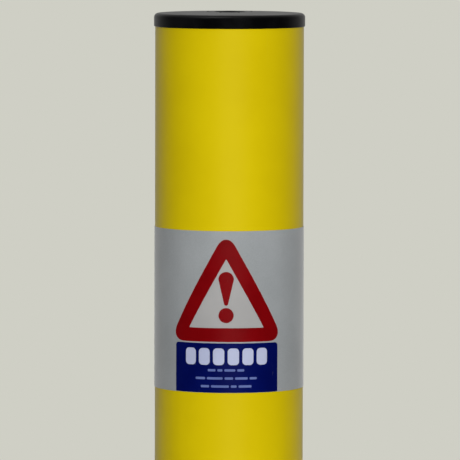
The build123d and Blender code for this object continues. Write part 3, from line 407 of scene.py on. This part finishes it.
def tapeTurn(radius, start, angle, steps, full):
    bm = bmesh.new()
    bmesh.ops.create_grid(bm, x_segments=1, y_segments=1, size=0.5)
    stood(bm, bm.verts)
    foot = bandLo.z + tape["lowEdgeUp"]
    bmesh.ops.scale(bm, verts=bm.verts, vec=(tape["filmThickness"], 1, bandHi.z - foot))
    bmesh.ops.bevel(bm, geom=bm.verts[:], offset=tape["edgeRound"], affect="VERTICES", segments=2, profile=0.5,
                    material=-1)
    moved(bm, bm.verts, x=radius + tape["filmThickness"] / 2, z=(foot + bandHi.z) / 2)
    bmesh.ops.rotate(bm, verts=bm.verts, cent=(0, 0, 0), matrix=Matrix.Rotation(start, 3, "Z"))
    if full:
        ring = bm.edges[:]
        bmesh.ops.delete(bm, geom=bm.faces[:], context="FACES_ONLY")
        bmesh.ops.spin(bm, geom=ring + bm.verts[:], cent=(0, 0, 0), axis=(0, 0, 1), angle=angle, steps=steps,
                       use_merge=True)
    else:
        bmesh.ops.spin(bm, geom=bm.faces[:], cent=(0, 0, 0), axis=(0, 0, 1), angle=angle, steps=steps)
    return bm


lapAngle = tape["lap"] / bandHi.x
band = tapeTurn(tapeInner, 0.0, 2 * pi, tape["turnSteps"], True)
joined(band, tapeTurn(bandHi.x + 0.01 * mm, pi / 2, lapAngle, tape["lapSteps"], False))
newPiece(band, "reflectiveTapeWrap", "reflectiveTape", "post", hides=["reflective_band"])

stickers = {"turn": radians(-2.2), "strip": 1.6 * mm, "layer": 0.05 * mm, "edge": 0.35 * mm,
            "corner": 6.5 * mm, "bar": 8.6 * mm, "markTop": 4.6 * mm, "markFoot": 1.25 * mm,
            "markLength": 18.8 * mm, "dot": 4.5 * mm, "smooth": 8, "stretch": 1.026,
            "markUp": 37.4 * mm, "dotUp": 16.1 * mm}
triLo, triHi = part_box("triangle_sticker")
labLo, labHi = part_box("label_sticker")
skin = bandHi.x + 0.02 * mm  # under the sticker film
triangleHeight = triHi.z - triLo.z


def triangleOutline(bm, height, corner, foot):
    # rounded triangle of a given height over its rounded corners, standing on Z = foot
    radius = (height + corner) / 1.5
    made = bmesh.ops.create_circle(bm, cap_ends=False, segments=3, radius=radius)["verts"]
    stood(bm, made)
    moved(bm, made, z=radius / 2)
    rounded = bmesh.ops.bevel(bm, geom=made, offset=corner * sqrt(3), affect="VERTICES",
                              segments=stickers["smooth"], profile=0.5, material=-1)["verts"]
    bmesh.ops.scale(bm, verts=rounded, vec=(1, 1, stickers["stretch"]))
    moved(bm, rounded, z=foot)


backing = bmesh.new()
triangleOutline(backing, triangleHeight, stickers["corner"], triLo.z)
bmesh.ops.contextual_create(backing, geom=backing.edges[:])
film(backing, stickers["layer"], stickers["strip"])
wrap(backing, skin, stickers["turn"])
newPiece(backing, "triangleBacking", "paleVinyl", "post", hides=["triangle_sticker"])

ring = bmesh.new()
edge, bar = stickers["edge"], stickers["bar"]
triangleOutline(ring, triangleHeight - 2 * edge, stickers["corner"] - edge, triLo.z + edge)
innerHeight = triangleHeight + stickers["corner"] - 3 * bar
triangleOutline(ring, innerHeight - 0.4 * mm, 0.4 * mm, triLo.z + bar)
bmesh.ops.bridge_loops(ring, edges=ring.edges[:])
film(ring, stickers["layer"], stickers["strip"])
mark = bmesh.new()
lobe = bmesh.ops.create_circle(mark, cap_ends=True, segments=36, radius=stickers["markTop"])["verts"]
stood(mark, lobe)
narrow = stickers["markFoot"] / stickers["markTop"]
for v in lobe:
    if v.co.z < -1e-6:  # the lower half narrows to a rounded foot
        v.co.x *= narrow
        v.co.z = v.co.z * narrow - stickers["markLength"] + stickers["markTop"]
moved(mark, lobe, z=triLo.z + stickers["markUp"])
spot = bmesh.ops.create_circle(mark, cap_ends=True, segments=36, radius=stickers["dot"])["verts"]
stood(mark, spot)
moved(mark, spot, z=triLo.z + stickers["dotUp"])
film(mark, stickers["layer"], stickers["strip"])
joined(ring, mark)
moved(ring, ring.verts, y=stickers["layer"])
wrap(ring, skin, stickers["turn"])
newPiece(ring, "triangleRedPrint", "redVinyl", "post")

label = {"width": 65.9 * mm, "lowEdgeUp": 0.6 * mm, "topCorner": 1.9 * mm, "lowCorner": 0.6 * mm,
         "blocks": 6, "blockTall": 10.0 * mm, "blockRow": 22.1 * mm, "rowWide": 50.6 * mm, "blockGap": 2.0 * mm,
         "blockCorner": 2.2 * mm, "dashTall": 1.4 * mm, "dashCorner": 0.5 * mm, "dashGap": 1.2,
         # each row's height up the label, then its dashes, in millimetres
         "dashRows": ((14.0, (4.6, 3.0, 6.4, 4.2)), (9.2, (6.0, 9.4, 5.0, 7.6, 4.4)), (4.4, (5.2, 10.6, 3.4, 7.8)))}


def plate(bm, x, z, width, height, corners):
    made = bmesh.ops.create_grid(bm, x_segments=1, y_segments=1, size=0.5)["verts"]
    stood(bm, made)
    bmesh.ops.scale(bm, verts=made, vec=(width, 1, height))
    moved(bm, made, x=x, z=z)
    for corner, side in zip(corners, (1, -1)):  # upper corners, then lower corners
        chosen = [v for v in made if v.is_valid and (v.co.z - z) * side > 0]
        bmesh.ops.bevel(bm, geom=chosen, offset=corner, affect="VERTICES", segments=5, profile=0.5,
                        material=-1)
        made = [v for v in bm.verts if (v.co.z - z) * side < 0 and abs(v.co.x - x) <= width / 2 + 1e-6]


panel = bmesh.new()
panelFoot = labLo.z + label["lowEdgeUp"]
plate(panel, 0, (panelFoot + labHi.z) / 2, label["width"], labHi.z - panelFoot,
      (label["topCorner"], label["lowCorner"]))
film(panel, stickers["layer"], stickers["strip"])
wrap(panel, skin, stickers["turn"])
newPiece(panel, "labelPanel", "blueVinyl", "post", hides=["label_sticker"])

blockWork = bmesh.new()
blockWide = (label["rowWide"] + label["blockGap"]) / label["blocks"] - label["blockGap"]
for n in range(label["blocks"]):  # plain blocks where the wording would be
    one = bmesh.new()
    x = -label["rowWide"] / 2 + blockWide / 2 + n * (blockWide + label["blockGap"])
    plate(one, x, labLo.z + label["blockRow"], blockWide, label["blockTall"], (label["blockCorner"],) * 2)
    film(one, stickers["layer"], stickers["strip"])
    joined(blockWork, one)
dashWork = bmesh.new()
for up, dashes in label["dashRows"]:
    x = -(sum(dashes) + label["dashGap"] * (len(dashes) - 1)) / 2
    for dash in dashes:
        one = bmesh.new()
        plate(one, (x + dash / 2) * mm, labLo.z + up * mm, dash * mm, label["dashTall"],
              (label["dashCorner"],) * 2)
        film(one, stickers["layer"], stickers["strip"])
        joined(dashWork, one)
        x += dash + label["dashGap"]
for work, name, finish in ((blockWork, "labelPlainBlocks", "whiteVinyl"),
                           (dashWork, "labelPlainDashes", "faintVinyl")):
    moved(work, work.verts, y=stickers["layer"])
    wrap(work, skin, stickers["turn"])
    newPiece(work, name, finish, "post")
print("tape and stickers made")

weld = {"radius": 2.4 * mm, "small": 1.9 * mm, "sides": 8, "ripplePitch": 3.4 * mm, "ripple": 0.1}
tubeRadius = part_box("housing_tube")[1].x
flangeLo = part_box("housing_flange")[0]
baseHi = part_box("housing_base_plate")[1]
drainLo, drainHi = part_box("drain_spigot")
beads = bmesh.new()


def bead(radius, turnFrom, turnTo, reach, z):
    # a rippled bead round the Z axis
    bm = bmesh.new()
    profile = bmesh.ops.create_circle(bm, cap_ends=True, segments=weld["sides"], radius=radius)["verts"]
    stood(bm, profile)
    moved(bm, profile, x=reach, z=z)
    bmesh.ops.rotate(bm, verts=profile, cent=(0, 0, 0), matrix=Matrix.Rotation(turnFrom, 3, "Z"))
    steps = max(4, ceil(abs(turnTo - turnFrom) * reach / weld["ripplePitch"] * 3))
    whole = abs(turnTo - turnFrom) > 6.28
    if whole:
        bmesh.ops.delete(bm, geom=bm.faces[:], context="FACES_ONLY")
    bmesh.ops.spin(bm, geom=bm.verts[:] + bm.edges[:] + bm.faces[:], cent=(0, 0, 0), axis=(0, 0, 1),
                   angle=turnTo - turnFrom, steps=steps, use_merge=whole)
    for v in bm.verts:
        angle = atan2(v.co.y, v.co.x)
        centre = Vector((reach * cos(angle), reach * sin(angle), z))
        swell = 1 + weld["ripple"] * sin(angle * round(reach * 2 * pi / weld["ripplePitch"]))
        v.co = centre + (v.co - centre) * swell
    return bm


def straightBead(radius, start, end):
    bm = bmesh.new()
    run = end - start
    profile = bmesh.ops.create_circle(bm, cap_ends=True, segments=weld["sides"], radius=radius)["verts"]
    steps = max(4, ceil(run.length / weld["ripplePitch"] * 3))
    bmesh.ops.spin(bm, geom=bm.verts[:] + bm.edges[:] + bm.faces[:], cent=(0, 0, 0), axis=(0, 0, 1),
                   dvec=(0, 0, run.length / steps), angle=0, steps=steps, use_merge=False)
    for v in bm.verts:
        taper = min(1.0, 0.55 + min(v.co.z, run.length - v.co.z) / radius / 2)
        swell = taper * (1 + weld["ripple"] * sin(v.co.z / weld["ripplePitch"] * 2 * pi))
        v.co.x *= swell
        v.co.y *= swell
    tilt = Vector((0, 0, 1)).rotation_difference(run).to_matrix()
    bmesh.ops.rotate(bm, verts=bm.verts, cent=(0, 0, 0), matrix=tilt)
    bmesh.ops.translate(bm, verts=bm.verts, vec=start)
    return bm


joined(beads, bead(weld["radius"], 0, 2 * pi, tubeRadius + 0.3 * mm, flangeLo.z - 0.3 * mm))
joined(beads, bead(weld["radius"], 0, 2 * pi, tubeRadius + 0.3 * mm, baseHi.z + 0.3 * mm))

gusset = {"thickness": 5 * mm, "leg": 38 * mm, "weldStart": 3 * mm, "turns": (45, 135, 225, 315)}
for turn in gusset["turns"]:
    for side in (1, -1):
        off = side * (gusset["thickness"] / 2 + 0.2 * mm)
        a = radians(turn)
        ahead, across = Vector((cos(a), sin(a), 0)), Vector((-sin(a), cos(a), 0))
        corner = ahead * sqrt(tubeRadius ** 2 - off ** 2) + across * off + Vector((0, 0, flangeLo.z))
        for along in (Vector((0, 0, -1)), ahead):  # down the tube, and out under the flange
            joined(beads, straightBead(weld["small"], corner + along * gusset["weldStart"],
                                       corner + along * (gusset["leg"] - mm)))

lug = {"thickness": 5 * mm, "tall": 40 * mm, "rows": ((-0.330, 45), (-0.610, 0))}
for level, first in lug["rows"]:
    for quarter in range(4):
        a = radians(first + 90 * quarter)
        ahead, across = Vector((cos(a), sin(a), 0)), Vector((-sin(a), cos(a), 0))
        for side in (1, -1):
            off = side * (lug["thickness"] / 2 + 0.2 * mm)
            foot = ahead * sqrt(tubeRadius ** 2 - off ** 2) + across * off
            joined(beads, straightBead(weld["small"], foot + Vector((0, 0, level - lug["tall"] / 2 + mm)),
                                       foot + Vector((0, 0, level + lug["tall"] / 2 - mm))))

keeperLo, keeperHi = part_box("keeper_pockets")
keeperTall = keeperHi.x - keeperLo.x
for middle in (keeperHi.z - keeperTall / 2, keeperLo.z + keeperTall / 2):
    for x in (keeperLo.x - 0.2 * mm, keeperHi.x + 0.2 * mm):
        y = sqrt(tubeRadius ** 2 - x ** 2)
        joined(beads, straightBead(weld["small"], Vector((x, y, middle - keeperTall / 2 + 3 * mm)),
                                   Vector((x, y, middle + keeperTall / 2 - 3 * mm))))
    turns = [atan2(sqrt(tubeRadius ** 2 - x ** 2), x) for x in (keeperHi.x - 3 * mm, keeperLo.x + 3 * mm)]
    for z in (middle - keeperTall / 2 - 0.2 * mm, middle + keeperTall / 2 + 0.2 * mm):
        joined(beads, bead(weld["small"], turns[0], turns[1], tubeRadius + 0.2 * mm, z))

saddle = bead(weld["small"], 0, 2 * pi, (drainHi.z - drainLo.z) / 2 + 0.3 * mm, 0)
bmesh.ops.rotate(saddle, verts=saddle.verts, cent=(0, 0, 0), matrix=Matrix.Rotation(radians(-90), 3, "Y"))
for v in saddle.verts:  # follows the round of the housing
    v.co.x -= sqrt(tubeRadius ** 2 - v.co.y ** 2) + 0.2 * mm
moved(saddle, saddle.verts, z=(drainLo.z + drainHi.z) / 2)
joined(beads, saddle)
newPiece(beads, "housingWelds", "weldBead", "ground_housing", sharp=60)
print("welds made")

wiper = {"steps": 144, "round": 0.35 * mm, "lipThickness": 1.0 * mm, "bead": 5.0 * mm}
wiperLo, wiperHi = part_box("wiper_seal")
wiperIn = min(hypot(v.co.x, v.co.y) for v in nodes["wiper_seal"].data.vertices)
seal = bmesh.new()
body = bmesh.ops.create_grid(seal, x_segments=1, y_segments=1, size=0.5)["verts"]
stood(seal, body)
bmesh.ops.scale(seal, verts=body, vec=(wiper["bead"], 1, wiperHi.z - wiperLo.z))
moved(seal, body, x=wiperHi.x - wiper["bead"] / 2, z=(wiperLo.z + wiperHi.z) / 2)
inner = [e for e in seal.edges if all(abs(v.co.x - (wiperHi.x - wiper["bead"])) < 1e-6 for v in e.verts)]
halves = bmesh.ops.subdivide_edges(seal, edges=inner, cuts=1)["geom_inner"]
step = max(v.co.z for v in halves if isinstance(v, bmesh.types.BMVert))
upper = [e for e in seal.edges if all(
    v.co.z > step - 1e-6 and v.co.x < wiperHi.x - wiper["bead"] + 1e-6 for v in e.verts)]
lip = bmesh.ops.extrude_edge_only(seal, edges=upper)["geom"]
tip = sorted([v for v in lip if isinstance(v, bmesh.types.BMVert)], key=lambda v: v.co.z)
for v, z in zip(tip, (wiperHi.z - 0.6 * mm - wiper["lipThickness"], wiperHi.z - 0.6 * mm)):
    v.co.x, v.co.z = wiperIn, z
bmesh.ops.dissolve_edges(seal, edges=upper, use_verts=False)  # the lip and its bead are one section
bmesh.ops.bevel(seal, geom=seal.verts[:], offset=wiper["round"], affect="VERTICES", segments=3, profile=0.5,
                material=-1)
bmesh.ops.delete(seal, geom=seal.faces[:], context="FACES_ONLY")
bmesh.ops.spin(seal, geom=seal.verts[:] + seal.edges[:], cent=(0, 0, 0), axis=(0, 0, 1), angle=2 * pi,
               steps=wiper["steps"], use_merge=True)
newPiece(seal, "wiperSealLip", "blackRubber", "ground_housing", hides=["wiper_seal"])

buffers = {"ribs": 5, "ribDepth": 0.9 * mm, "steps": 40, "crown": 1.2 * mm, "count": 3, "circle": 38 * mm}
bufLo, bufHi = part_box("down_stop_buffers")
bufRadius = bufHi.x - buffers["circle"]
ribbed = bmesh.new()
tall = bufHi.z - bufLo.z
waist = 1 - buffers["ribDepth"] / bufRadius
for n in range(buffers["count"]):
    one = bmesh.new()
    bmesh.ops.create_circle(one, cap_ends=True, segments=buffers["steps"], radius=bufRadius)
    for rib in range(buffers["ribs"]):  # grows upwards, in at each groove and out again
        for rise, grow in ((0.55, 1.0), (0.12, waist), (0.21, 1.0), (0.12, 1 / waist)):
            top = max(one.faces, key=lambda f: f.calc_center_median().z)
            risen = bmesh.ops.extrude_face_region(one, geom=[top, *top.edges, *top.verts])["geom"]
            fresh = [v for v in risen if isinstance(v, bmesh.types.BMVert)]
            moved(one, fresh, z=tall / buffers["ribs"] * rise)
            bmesh.ops.scale(one, verts=fresh, vec=(grow, grow, 1))
    crownEdges = [e for e in one.edges if all(v.co.z > tall - 1e-6 for v in e.verts)]
    bmesh.ops.bevel(one, geom=crownEdges, offset=buffers["crown"], affect="EDGES", segments=4, profile=0.5,
                    material=-1)
    a = 2 * pi * n / buffers["count"]
    moved(one, one.verts, x=buffers["circle"] * cos(a), y=buffers["circle"] * sin(a), z=bufLo.z)
    joined(ribbed, one)
newPiece(ribbed, "ribbedBuffers", "blackRubber", "ground_housing",
         hides=["down_stop_buffers"])
print("rubber made")

stage = {"floorRadius": 10.0, "nearRadius": 1.2, "pale": (0.624, 0.624, 0.558, 1),
         "back": 0.6, "front": 0.006, "over": 0.55,
         "keyPower": 138.0, "keySize": 3.2, "keyDistance": 4.0, "keyTurn": 5.0, "keyRise": 8.0,
         "softPower": 40.0, "softSize": 2.0,
         "softPlace": (-1.0, -1.3, 3.6)}

paper = Finish("studioPaper")
far = paper.ramp(paper.reach(), stage["nearRadius"] * 0.8, stage["nearRadius"] * 2.4)
grain = paper.noise(300.0, 3.0)
paper.coat(paper.mix(grain, (0.78, 0.78, 0.72, 1), (0.82, 0.82, 0.755, 1)), 0.75 + 0.1 * grain)
glow = paper.node("ShaderNodeEmission", None, {"Color": stage["pale"], "Strength": 1.0})
blended = paper.node("ShaderNodeMixShader", None, [far, Wire(paper, paper.shader.outputs[0]), glow])
paper.tree.links.new(blended.socket, paper.tree.nodes["Material Output"].inputs["Surface"])
for name, radii in (("studioFloor", [stage["nearRadius"]]),
                    ("studioFloorFar", [stage["nearRadius"], stage["floorRadius"]])):
    disc = bmesh.new()
    for radius in radii:
        bmesh.ops.create_circle(disc, cap_ends=len(radii) == 1, segments=96, radius=radius)
    if len(radii) == 2:
        bmesh.ops.bridge_loops(disc, edges=disc.edges[:])
    moved(disc, disc.verts, z=cadBox[0].z)
    bmesh.ops.recalc_face_normals(disc, faces=disc.faces)
    mesh = bpy.data.meshes.new(name)
    disc.to_mesh(mesh)
    disc.free()
    mesh.materials.append(paper.material)
    floor = bpy.data.objects.new(name, mesh)
    scene.collection.objects.link(floor)
    floor.visible_glossy = False
    floor.visible_diffuse = len(radii) == 1  # the far floor throws no light on the post

world = bpy.data.worlds.new("studioWorld")
scene.world = world
sky = Finish("studioWorld", world)
direction = sky.node("ShaderNodeTexCoord", out="Generated")
sides = [sky.node("ShaderNodeSeparateXYZ", None, [direction], n) for n in range(3)]
behind = sky.ramp(sides[1], 0.0, 1.0, stage["front"], stage["back"])
above = sky.ramp(sides[2], 0.5, 0.95, 0.0, stage["over"])
around = sky.node("ShaderNodeBackground", None, {
    "Color": (1.0, 0.995, 0.97, 1), "Strength": behind + above})
plain = sky.node("ShaderNodeBackground", None, {"Color": stage["pale"], "Strength": 1.0})
seen = sky.node("ShaderNodeLightPath", out="Is Camera Ray")
both = sky.node("ShaderNodeMixShader", None, [seen, around, plain])
sky.tree.links.new(both.socket, sky.tree.nodes["World Output"].inputs["Surface"])


def aimed(obj, place, target, roll=0.0):
    look = (target - place).to_track_quat("-Z", "Y").to_matrix().to_4x4()
    obj.matrix_world = Matrix.Translation(place) @ look @ Matrix.Rotation(roll, 4, "Z")
    scene.collection.objects.link(obj)


def softbox(name, power, size, place, target):
    lamp = bpy.data.lights.new(name, "AREA")
    lamp.shape, lamp.size, lamp.energy = "DISK", size, power
    box = bpy.data.objects.new(name, lamp)
    aimed(box, place, target)
    return box


middle = Vector((0, 0, 0.35))
turn, rise = radians(stage["keyTurn"]), radians(stage["keyRise"])
key = softbox("keySoftbox", stage["keyPower"], stage["keySize"], middle + stage["keyDistance"] * Vector(
    (sin(turn) * cos(rise), -cos(turn) * cos(rise), sin(rise))), middle)
key.visible_glossy = False  # lights the front without a stripe down the coat
shine = softbox("shineSoftbox", stage["softPower"], stage["softSize"], Vector(stage["softPlace"]),
                Vector((0, 0, 0)))
shine.visible_diffuse = False

view = {"lens": 430.4, "distance": 3.295, "rise": 4.2, "target": (0.0005, 0, 0.540), "roll": 0.12}
target, rise = Vector(view["target"]), radians(view["rise"])
camera = bpy.data.cameras.new("viewCamera")
camera.lens, camera.sensor_width = view["lens"], 36.0
camera.clip_start, camera.clip_end = 0.1, 200.0
eye = bpy.data.objects.new("viewCamera", camera)
aimed(eye, target + view["distance"] * Vector((0, -cos(rise), sin(rise))), target, radians(view["roll"]))
scene.camera = eye
scene.view_settings.view_transform = "Standard"
print("stage, light and camera set")
